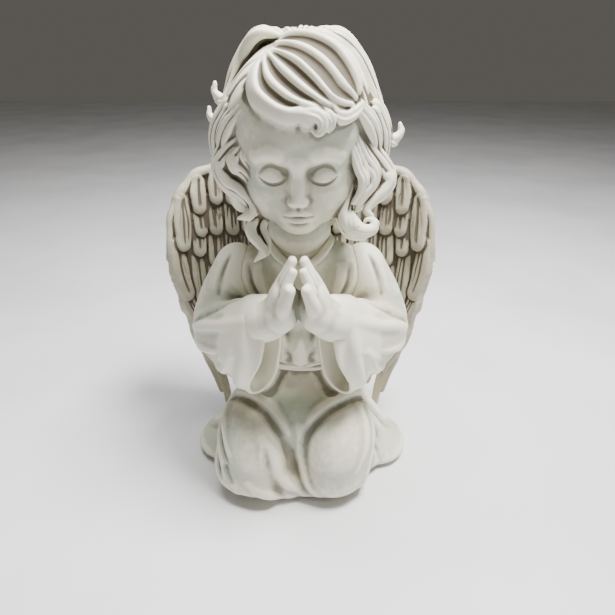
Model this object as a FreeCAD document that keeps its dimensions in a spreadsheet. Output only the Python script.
"""Kneeling, praying angel figurine cast in resin: a parametric FreeCAD document.

The figure faces -Y with +Z up, so its own left is +X. The origin is at the middle of the
footprint, on the plane that the felt pads stand on. Millimetres.

It is built as it would come apart on a bench. A hollow robed body carries the undercut parts,
which are cast apart and glued on over steel dowels: the head with its hair, two sleeves, the
joined hands and two wings. A base plate closes the hollow body underneath, a rubber plug closes
the plate's vent, and four felt pads carry the figure.
"""
import FreeCAD, Part
import math
import os
import re

import Sketcher
from FreeCAD import Placement, Rotation, Vector

doc = FreeCAD.newDocument("angel_figurine")
sheet = doc.addObject("Spreadsheet::Sheet", "dims")

# ---------------------------------------------------------------- the driving dimensions
DIMENSIONS = {
    "height": 300.0,          # from the pads' soles to the top of the hair
    "half_depth": 72.0,       # from the origin to the knees, and to the hem behind the feet
    "glue_gap": 0.2,          # room for the adhesive round every joint
    "pin_gap": 0.05,          # radial room round a dowel
    "pad_radius": 6.0,
    "pad_thick": 1.5,
    "pad_reach": 40.0,        # each pad's distance from the centre, along X and along Y
    "plate_radius": 44.0,
    "plate_thick": 4.0,
    "shelf": 6.0,             # width of the ledge that the base plate is glued to
    "vent_radius": 9.0,
    "flange_radius": 12.0,
    "flange_thick": 2.0,
    "bead_radius": 10.0,
    "bead_height": 3.0,
    "collar_z": 168.0,        # where the head casting seats on the body
    "neck_y": -12.0,
    "neck_radius": 17.0,
    "neck_length": 38.0,
    "spigot_radius": 11.0,
    "spigot_length": 12.0,
    "neck_pin_radius": 2.0,
    "neck_pin_length": 32.0,
    "wing_pin_radius": 1.6,
    "wing_pin_length": 20.0,
    "wing_pin_low": 130.0,
    "wing_pin_high": 150.0,
    "wing_root_x": 15.0,      # middle of the root block, on which the wing beds on the back
    "wing_root_wide": 14.0,
    "wing_root_tall": 36.0,
    "wing_root_z": 140.0,
    "wing_seat_y": 27.0,      # the flat on the back
    "wing_radius": 68.0,      # plan curve of the wing, hollow towards the front
    "wing_centre_x": 45.0,    # that curve's centre at wing_centre_z
    "wing_centre_y": -12.0,
    "wing_centre_z": 165.0,
    "wing_lean_x": 0.156,     # how far the centre moves for each mm of height
    "wing_lean_y": 0.05,
    "quill_thick": 4.0,       # the wing's thickness at its long feathers
    "tier_step": 1.5,         # what each shorter tier of feathers adds, on both faces
    "arm_pin_radius": 2.0,
    "arm_pin_length": 22.0,
    "arm_pin_x": 25.0,        # the dowel's inner end
    "arm_pin_y": 2.0,
    "arm_pin_z": 141.0,
    "wrist_x": 8.0,
    "wrist_y": -59.0,
    "wrist_z": 152.0,
    "wrist_radius": 11.0,
    "forearm_radius": 12.5,
    "forearm_length": 36.0,
    "tenon_radius": 9.0,
    "tenon_length": 15.0,
    "mouth_x": 22.0,          # a point on the cuff's edge
    "mouth_y": -54.0,
    "finger_radius": 3.2,
    "finger_length": 16.0,
    "knuckle_z": 168.0,
}

# Rounded masses: centre x, y, z, then radii along x, y, z. A paired mass gives its left one.
BODY_MASSES = {
    "shoulder": (24, -2, 148, 22, 24, 20),
    "thigh": (27, -34, 37, 29, 38, 35),
    "train": (60, 12, 14.5, 23, 36, 13),
}
SINGLE_BODY_MASSES = {
    "heel_hem": (0, 44, 26, 50, 28, 24.5),
    "belly": (0, -10, 104, 33, 26, 24),
    "lap": (0, -18, 58, 44, 34, 24),
}
HEAD_MASSES = {
    "cheek": (13, -42, 212, 18, 20, 17),
    "side_hair": (42, -4, 228, 13, 26, 32),
    "low_lock": (38, -12, 194, 13, 20, 22),
    "ear_tuft": (48, 2, 250, 10, 18, 12),
}
SINGLE_HEAD_MASSES = {
    "cranium": (0, -6, 250, 47, 50, 50),
    "face": (0, -32, 222, 32, 31, 34),
    "chin": (0, -50, 200, 13, 12, 9),
    "nose": (0, -62, 220, 4, 6, 6),
    "fringe": (4, -40, 262, 36, 24, 19),
    "back_hair": (0, 22, 216, 36, 20, 46),
}
SLEEVE_MASSES = {
    "upper_arm": (46, -2, 140, 17, 19, 25),
    "elbow": (51, -20, 122, 18, 23, 22),
    "bell": (38, -38, 118, 24, 25, 37),
}
CUFF_HOLLOW = {"cuff": (29, -45, 114, 18, 17, 31)}
PALM = {"palm": (8.4, -58, 160, 9, 12, 18)}

# The body's core: height, half width, half depth and middle along Y of each section.
CORE_SECTIONS = {
    "sole": ("pad_thick", 70, 64, 0),
    "hem": ("pad_thick + 10", 75, 69, 0),
    "calf": ("height * 0.1", 62, 60, 4),
    "seat": ("height * 0.19", 50, 48, 6),
    "waist": ("height * 0.29", 36, 29, 1),
    "chest": ("height * 0.42", 40, 29, 0),
    "yoke": ("height * 0.51", 38, 25, 0),
    "collar": ("collar_z", 23, 20, -10),
}
HOLLOW_SECTIONS = {
    "hollow_sole": ("pad_thick + plate_thick - 1", 38, 38, 0),
    "hollow_hem": ("pad_thick + 12", 50, 50, 2),
    "hollow_calf": ("height * 0.12", 46, 46, 4),
    "hollow_seat": ("height * 0.19", 36, 35, 6),
    "hollow_waist": ("height * 0.29", 22, 17, 1),
    "hollow_chest": ("height * 0.38", 14, 12, 1),
}

ALIASES = []


def cell(alias, number):
    """Keeps one number in the spreadsheet under a name that expressions can use."""
    row = len(ALIASES) + 1
    sheet.set(f"A{row}", alias)
    sheet.set(f"B{row}", f"{number}")
    sheet.setAlias(f"B{row}", alias)
    ALIASES.append(alias)


for alias, number in DIMENSIONS.items():
    cell(alias, number)
MASS_TABLES = (BODY_MASSES, SINGLE_BODY_MASSES, HEAD_MASSES, SINGLE_HEAD_MASSES, SLEEVE_MASSES,
               CUFF_HOLLOW, PALM)
for group in MASS_TABLES:
    for mass, numbers in group.items():
        for ending, number in zip(("x", "y", "z", "rx", "ry", "rz"), numbers):
            cell(f"{mass}_{ending}", number)
for sections in (CORE_SECTIONS, HOLLOW_SECTIONS):
    for section, (_, half_width, half_depth, middle) in sections.items():
        cell(f"{section}_rx", half_width)
        cell(f"{section}_ry", half_depth)
        cell(f"{section}_y", middle)
doc.recompute()
ALIAS_WORD = re.compile(r"\b(" + "|".join(sorted(ALIASES, key=len, reverse=True)) + r")\b")
NODES = []
LEFT, RIGHT = 1, -1
SIDES = {"left": LEFT, "right": RIGHT}


def bind(thing, prop, text):
    """Binds a property to an expression, in which a cell is written as its bare alias."""
    thing.setExpression(prop, ALIAS_WORD.sub(r"dims.\1", text))


def value(alias):
    """The number that a cell holds, for a shape that can't take an expression."""
    return float(sheet.get(alias))


def place(thing, x="0", y="0", z="0"):
    """Binds where a shape stands."""
    for axis, text in zip("xyz", (x, y, z)):
        bind(thing, f"Placement.Base.{axis}", text)
    return thing


# ---------------------------------------------------------------- shapes used by several pieces
def ellipsoid(mass, name, side=LEFT, grow="0"):
    """A rounded mass from its cells, grown by an expression."""
    thing = doc.addObject("Part::Ellipsoid", name)
    for prop, ending in (("Radius1", "rz"), ("Radius2", "rx"), ("Radius3", "ry")):
        bind(thing, prop, f"{mass}_{ending} + {grow}")
    return place(thing, f"{side} * {mass}_x", f"{mass}_y", f"{mass}_z")


def rod(name, radius, length, start, along, end_radius=None):
    """A round bar, or a taper, from start in the direction along."""
    thing = doc.addObject("Part::Cone" if end_radius else "Part::Cylinder", name)
    bind(thing, "Radius1" if end_radius else "Radius", radius)
    if end_radius:
        bind(thing, "Radius2", end_radius)
    bind(thing, "Height", length)
    thing.Placement.Rotation = Rotation(Vector(0, 0, 1), Vector(*along))
    return place(thing, *start)


def block(name, corner, size):
    """A box from its lowest corner."""
    thing = doc.addObject("Part::Box", name)
    for prop, text in zip(("Length", "Width", "Height"), size):
        bind(thing, prop, text)
    return place(thing, *corner)


def combine(kind, name, shapes):
    """Part::MultiFuse or Part::MultiCommon of several shapes."""
    thing = doc.addObject(kind, name)
    thing.Shapes = shapes
    return thing


def fuse(name, shapes):
    return combine("Part::MultiFuse", name, shapes)


def cut(name, base, tool):
    thing = doc.addObject("Part::Cut", name)
    thing.Base, thing.Tool = base, tool
    return thing


def mirror(name, source):
    """The right-hand copy of a left-hand shape."""
    thing = doc.addObject("Part::Mirroring", name)
    thing.Source, thing.Normal = source, Vector(1, 0, 0)
    return thing


def loft(name, sections):
    """A solid through ellipses that lie flat, one above the other."""
    rings = []
    for section, (z, half_width, half_depth, _) in sections.items():
        ring = doc.addObject("Part::Ellipse", f"{section}_ring")
        wide = half_width >= half_depth
        bind(ring, "MajorRadius", f"{section}_rx" if wide else f"{section}_ry")
        bind(ring, "MinorRadius", f"{section}_ry" if wide else f"{section}_rx")
        ring.Placement.Rotation = Rotation(Vector(0, 0, 1), 0 if wide else 90)
        rings.append(place(ring, y=f"{section}_y", z=z))
    thing = doc.addObject("Part::Loft", name)
    thing.Sections, thing.Solid, thing.Ruled = rings, True, False
    return thing


def node(thing, label):
    """Marks a finished sub-part: its Label names its file."""
    thing.Label = label
    NODES.append(thing)
    return thing


def body(label):
    """A PartDesign body that is a sub-part of its own."""
    return node(doc.addObject("PartDesign::Body", label), label)


def circle_sketch(owner, name, radius, z):
    """One circle round the Z axis on the body's XY plane, lifted to z, its radius bound."""
    made = owner.newObject("Sketcher::SketchObject", name)
    plane = next(o for o in owner.Origin.OriginFeatures if o.Role == "XY_Plane")
    made.AttachmentSupport, made.MapMode = [(plane, "")], "FlatFace"
    made.addGeometry(Part.Circle(Vector(), Vector(0, 0, 1), 5.0), False)
    made.addConstraint(Sketcher.Constraint("Coincident", 0, 3, -1, 1))
    rim = made.addConstraint(Sketcher.Constraint("Radius", 0, 5.0))
    bind(made, f"Constraints[{rim}]", radius)
    bind(made, "AttachmentOffset.Base.z", z)
    return made


def pad(owner, name, radius, z, height):
    """A disc added to a body, from z upwards."""
    made = owner.newObject("PartDesign::Pad", name)
    made.Profile = circle_sketch(owner, f"{name}_sketch", radius, z)
    bind(made, "Length", height)
    return made


def pocket(owner, name, radius, z, depth):
    """A round hole in a body, from z upwards."""
    made = owner.newObject("PartDesign::Pocket", name)
    made.Profile = circle_sketch(owner, f"{name}_sketch", radius, z)
    made.Reversed = True
    bind(made, "Length", depth)
    return made


# ---------------------------------------------------------------- the joints' directions
WRIST = ("wrist_x", "wrist_y", "wrist_z")
FOREARM = Vector(40, 34, -26).normalize()     # left wrist to left elbow
CUFF_FACING = Vector(0.8, -0.6, 0)            # a cuff opens inwards and to the front


def along_forearm(side, distance):
    """A point on a forearm's axis, as expressions, and the axis's direction."""
    point = [
        f"{side} * (wrist_x + {FOREARM.x} * ({distance}))",
        f"wrist_y + {FOREARM.y} * ({distance})",
        f"wrist_z + {FOREARM.z} * ({distance})",
    ]
    return point, (side * FOREARM.x, FOREARM.y, FOREARM.z)


def forearm_shapes(name, side, grow="0"):
    """A bare forearm and the tenon that goes into the sleeve, from the wrist outwards."""
    start, axis = along_forearm(side, "0")
    shoulder, _ = along_forearm(side, "forearm_length")
    arm = rod(f"{name}_arm", f"wrist_radius + {grow}", f"forearm_length + {grow}", start, axis,
              end_radius=f"forearm_radius + {grow}")
    tenon = rod(f"{name}_tenon", f"tenon_radius + {grow}", f"tenon_length + {grow}", shoulder, axis)
    return [arm, tenon]


def sleeve_masses(name, side, grow="0"):
    return [ellipsoid(mass, f"{name}_{mass}", side, grow) for mass in SLEEVE_MASSES]


def head_masses(name, grow="0"):
    shapes = [ellipsoid(mass, f"{name}_{mass}", grow=grow) for mass in SINGLE_HEAD_MASSES]
    for word, side in SIDES.items():
        shapes += [ellipsoid(mass, f"{name}_{word}_{mass}", side, grow) for mass in HEAD_MASSES]
    return shapes


def wing_root(name, side, grow="0"):
    """The block behind the shoulder blade that carries a wing."""
    middle = f"{side} * wing_root_x - wing_root_wide / 2 - {grow}"
    corner = (middle, f"wing_seat_y - {grow}", f"wing_root_z - wing_root_tall / 2 - {grow}")
    depth = "wing_centre_y + wing_radius - wing_seat_y - 6"
    return block(name, corner, (f"wing_root_wide + 2 * {grow}", depth, f"wing_root_tall + 2 * {grow}"))


def wing_pins(name, side, grow="0"):
    """The two dowels that cross a wing's seat, half in the body and half in the root."""
    start = (f"{side} * wing_root_x", f"wing_seat_y - wing_pin_length / 2 - {grow}")
    radius, length = f"wing_pin_radius + {grow}", f"wing_pin_length + 2 * {grow}"
    return {
        level: rod(f"{name}_{level}", radius, length, (*start, f"wing_pin_{level}"), (0, 1, 0))
        for level in ("high", "low")
    }


def neck_pin(name, grow="0"):
    """The dowel down the middle of the neck."""
    foot = f"collar_z - spigot_length / 2 - neck_pin_length / 2 - {grow}"
    return rod(name, f"neck_pin_radius + {grow}", f"neck_pin_length + 2 * {grow}",
               ("0", "neck_y", foot), (0, 0, 1))


def arm_pin(name, side, grow="0"):
    """The dowel that ties a sleeve casting to the shoulder."""
    start = (f"{side} * (arm_pin_x - {grow})", "arm_pin_y", "arm_pin_z")
    return rod(name, f"arm_pin_radius + {grow}", f"arm_pin_length + 2 * {grow}", start, (side, 0, 0))


# ---------------------------------------------------------------- robe_body
def make_robe_body():
    """The kneeling, robed body: a hollow casting with a pocket for each glued part."""
    shapes = [loft("core", CORE_SECTIONS)]
    shapes += [ellipsoid(mass, f"body_{mass}") for mass in SINGLE_BODY_MASSES]
    for word, side in SIDES.items():
        shapes += [ellipsoid(mass, f"body_{word}_{mass}", side) for mass in BODY_MASSES]
    outside = fuse("robe_outside", shapes)
    plate_seat = rod("plate_seat", "plate_radius + glue_gap", "plate_thick + 5 + glue_gap",
                     ("0", "0", "pad_thick - 5"), (0, 0, 1))
    below = block("below_sole", ("-150", "-150", "-50"), ("300", "300", "50 + pad_thick"))
    spigot_hole = rod("spigot_hole", "spigot_radius + glue_gap", "spigot_length + 30",
                      ("0", "neck_y", "collar_z - spigot_length - glue_gap"), (0, 0, 1))
    above = block("above_collar", ("-30", "-60", "collar_z"), ("60", "80", "30"))
    taken = [loft("hollow", HOLLOW_SECTIONS), plate_seat, below, spigot_hole, above]
    taken.append(neck_pin("neck_pin_hole", "pin_gap"))
    taken += head_masses("hair_room", "glue_gap")
    for word, side in SIDES.items():
        taken += sleeve_masses(f"{word}_arm_room", side, "glue_gap")
        taken.append(wing_root(f"{word}_wing_seat", side, "glue_gap"))
        taken += wing_pins(f"{word}_back_hole", side, "pin_gap").values()
        taken.append(arm_pin(f"{word}_shoulder_hole", side, "pin_gap"))
    return node(cut("robe", outside, fuse("robe_taken", taken)), "robe_body")


# ---------------------------------------------------------------- head
def make_head():
    """The bowed head, its hair and the spigot of the neck, in one casting."""
    neck = rod("neck", "neck_radius", "neck_length", ("0", "neck_y", "collar_z + glue_gap"), (0, 0, 1))
    spigot = rod("spigot", "spigot_radius", "spigot_length + 2",
                 ("0", "neck_y", "collar_z - spigot_length"), (0, 0, 1))
    outside = fuse("head_outside", [*head_masses("head"), neck, spigot])
    return node(cut("head_cut", outside, neck_pin("head_pin_hole", "pin_gap")), "head")


# ---------------------------------------------------------------- sleeves and hands
def make_sleeves():
    """The bell sleeves: open at the cuff, with a bore at the elbow for the forearm's tenon."""
    outside = fuse("sleeve_outside", sleeve_masses("sleeve", LEFT))
    hollow = ellipsoid("cuff", "cuff_hollow")
    mouth = block("cuff_cut", ("0", "0", "0"), ("60", "80", "120"))
    turn = Rotation(Vector(1, 0, 0), Vector(-CUFF_FACING.x, CUFF_FACING.y, 0))
    mouth.Placement.Rotation = turn
    corner = turn.multVec(Vector(0, -40, 0))
    place(mouth, f"mouth_x + {corner.x}", f"mouth_y + {corner.y}", "60")
    taken = [hollow, mouth, arm_pin("sleeve_hole", LEFT, "pin_gap")]
    taken += forearm_shapes("bore", LEFT, "glue_gap")
    made = node(cut("sleeve_cut", outside, fuse("sleeve_taken", taken)), "left_sleeve")
    node(mirror("mirrored_sleeve", made), "right_sleeve")


def make_hands():
    """Both hands, palm to palm with the fingers up, and the forearms' tenons."""
    shapes = []
    for word, side in SIDES.items():
        shapes.append(ellipsoid("palm", f"{word}_palm", side))
        shapes += forearm_shapes(f"{word}_bare", side)
        for finger in range(4):
            lean = Vector(-0.12 * side, 0.06 * (finger - 1.5), 1).normalize()
            start = (f"{side} * (finger_radius + 2.2)", f"wrist_y + {finger - 1.5} * 1.8 * finger_radius",
                     f"knuckle_z - {abs(finger - 1.5)}")
            name = f"{word}_finger_{finger}"
            shapes.append(rod(name, "finger_radius", "finger_length", start, lean))
            tip = doc.addObject("Part::Sphere", f"{name}_tip")
            bind(tip, "Radius", "finger_radius")
            ends = [f"{text} + finger_length * {step}" for text, step in zip(start, lean)]
            shapes.append(place(tip, *ends))
    return node(fuse("hands", shapes), "praying_hands")


# ---------------------------------------------------------------- wings
def closed_sketch(name, edges, rotation):
    """A sketch that holds a closed outline."""
    made = doc.addObject("Sketcher::SketchObject", name)
    made.Placement = Placement(Vector(), rotation)
    made.addGeometry(edges, False)
    return made


def extrude(name, profile, direction, length):
    thing = doc.addObject("Part::Extrusion", name)
    thing.Base, thing.DirMode, thing.Dir = profile, "Custom", direction
    thing.Solid = True
    bind(thing, "LengthFwd", length)
    return thing


def wing_band(name, thick):
    """The wing's curved sheet: an arc in plan, swept upwards and leaning outwards."""
    lean = Vector(value("wing_lean_x"), value("wing_lean_y"), 1)
    foot = Vector(lean.x, lean.y, 0) * value("wing_centre_z")
    centre = Vector(value("wing_centre_x"), value("wing_centre_y"), 0) - foot
    outer, inner = value("wing_radius") + thick / 2, value("wing_radius") - thick / 2
    first, last = math.radians(5), math.radians(140)

    def ring_point(radius, angle):
        return centre + Vector(math.cos(angle), math.sin(angle), 0) * radius

    def ring(radius):
        middle = (first + last) / 2
        return Part.Arc(*(ring_point(radius, a) for a in (first, middle, last)))

    edges = [ring(outer), ring(inner)]
    edges += [Part.LineSegment(ring_point(inner, a), ring_point(outer, a)) for a in (first, last)]
    profile = closed_sketch(f"{name}_plan", edges, Rotation())
    return extrude(name, profile, lean, "height")


def wing_front(name, points, tips):
    """The wing's outline seen from the front: a smooth edge, then rounded feather tips.

    points run from the root over the top to the outer edge. tips are where one feather meets
    the next, back to the root; each feather hangs below the line between two of them.
    """
    edge = Part.BSplineCurve()
    edge.interpolate([Vector(x, z, 0) for x, z in points])
    edges = [edge]
    for (x0, z0), (x1, z1) in zip([points[-1], *tips], tips):
        a, b = Vector(x0, z0, 0), Vector(x1, z1, 0)
        drop = (b - a).cross(Vector(0, 0, 1)).normalize() * (b - a).Length * FEATHER_DROP
        edges.append(Part.Arc(a, (a + b) / 2 - drop, b))
    edges.append(Part.LineSegment(Vector(*tips[-1], 0), Vector(*points[0], 0)))
    upright = Rotation(Vector(1, 0, 0), 90)
    return extrude(name, closed_sketch(f"{name}_outline", edges, upright), Vector(0, 1, 0), "height")


FEATHER_DROP = 0.32          # how deep a rounded feather tip hangs, for each mm of its width
WING_TIERS = {
    "quills": (
        [(14, 190), (36, 209), (62, 212), (84, 200), (96, 176), (97, 140), (88, 105), (75, 70),
         (69, 30), (65, 12)],
        [(57, 22), (49, 42), (41, 66), (32, 92), (22, 112), (10, 124)],
    ),
    "secondaries": (
        [(13, 188), (36, 208), (62, 211), (83, 199), (95, 175), (93, 132)],
        [(78, 108), (62, 98), (46, 104), (30, 116), (11, 126)],
    ),
    "coverts": (
        [(13, 187), (36, 207), (62, 210), (82, 198), (93, 176), (93, 164)],
        [(80, 150), (64, 143), (48, 143), (32, 146), (12, 150)],
    ),
}


def make_wings():
    """The cupped wings, in three tiers of feathers, each with the root block that beds on the back."""
    shapes = [wing_root("wing_root", LEFT)]
    for step, (tier, (points, tips)) in enumerate(WING_TIERS.items()):
        band = wing_band(f"{tier}_band", value("quill_thick") + 2 * step * value("tier_step"))
        front = place(wing_front(f"{tier}_front", points, tips), y="-height / 2")
        shapes.append(combine("Part::MultiCommon", tier, [band, front]))
    holes = fuse("root_holes", list(wing_pins("root_hole", LEFT, "pin_gap").values()))
    made = node(cut("wing_cut", fuse("wing_outside", shapes), holes), "left_wing")
    node(mirror("mirrored_wing", made), "right_wing")


# ---------------------------------------------------------------- dowels, plate, plug and pads
def make_dowels():
    node(neck_pin("neck_pin"), "neck_dowel")
    for word, side in SIDES.items():
        node(arm_pin(f"{word}_arm_pin", side), f"{word}_arm_dowel")
        for level, pin in wing_pins(f"{word}_wing_pin", side).items():
            node(pin, f"{word}_wing_dowel_{level}")


def make_base_plate():
    """The disc glued into the underside, with a stepped vent."""
    plate = body("base_plate")
    pad(plate, "plate_disc", "plate_radius", "pad_thick", "plate_thick")
    doc.recompute()
    pocket(plate, "vent", "vent_radius + pin_gap * 2", "pad_thick", "plate_thick")
    doc.recompute()
    pocket(plate, "flange_recess", "flange_radius + glue_gap", "pad_thick", "flange_thick + glue_gap")


def make_vent_plug():
    """The rubber plug: a flange that lies flush, a stem and a bead that snaps over the plate."""
    plug = body("vent_plug")
    pad(plug, "plug_flange", "flange_radius", "pad_thick", "flange_thick")
    doc.recompute()
    pad(plug, "plug_stem", "vent_radius", "pad_thick", "plate_thick + glue_gap + bead_height")
    doc.recompute()
    pad(plug, "plug_bead", "bead_radius", "pad_thick + plate_thick + glue_gap", "bead_height")


def make_felt_pads():
    for word, side in SIDES.items():
        for end, sign in (("front", -1), ("back", 1)):
            name = f"felt_pad_{end}_{word}"
            disc = body(name)
            pad(disc, f"{name}_disc", "pad_radius", "0", "pad_thick")
            place(disc, f"{side} * pad_reach", f"{sign} * pad_reach")


make_robe_body()
make_head()
make_sleeves()
make_wings()
make_hands()
make_dowels()
make_base_plate()
make_vent_plug()
make_felt_pads()
doc.recompute()

failed = [o.Label for o in doc.Objects if "Invalid" in o.State or "Error" in o.State]
if failed:
    raise RuntimeError(f"these objects failed: {failed}")
os.makedirs("parts", exist_ok=True)
for old in os.listdir("parts"):
    os.remove(os.path.join("parts", old))
for thing in NODES:
    shape = thing.Shape
    if shape.isNull() or not shape.isValid():
        raise RuntimeError(f"{thing.Label} has no valid shape")
    shape.exportStep(f"parts/{thing.Label}.step")
    box = shape.optimalBoundingBox()
    print(f"{thing.Label:24s} solids {len(shape.Solids)}  volume {shape.Volume / 1000:8.2f} cm3"
          f"  x {box.XMin:7.2f} {box.XMax:7.2f}  y {box.YMin:7.2f} {box.YMax:7.2f}"
          f"  z {box.ZMin:7.2f} {box.ZMax:7.2f}")
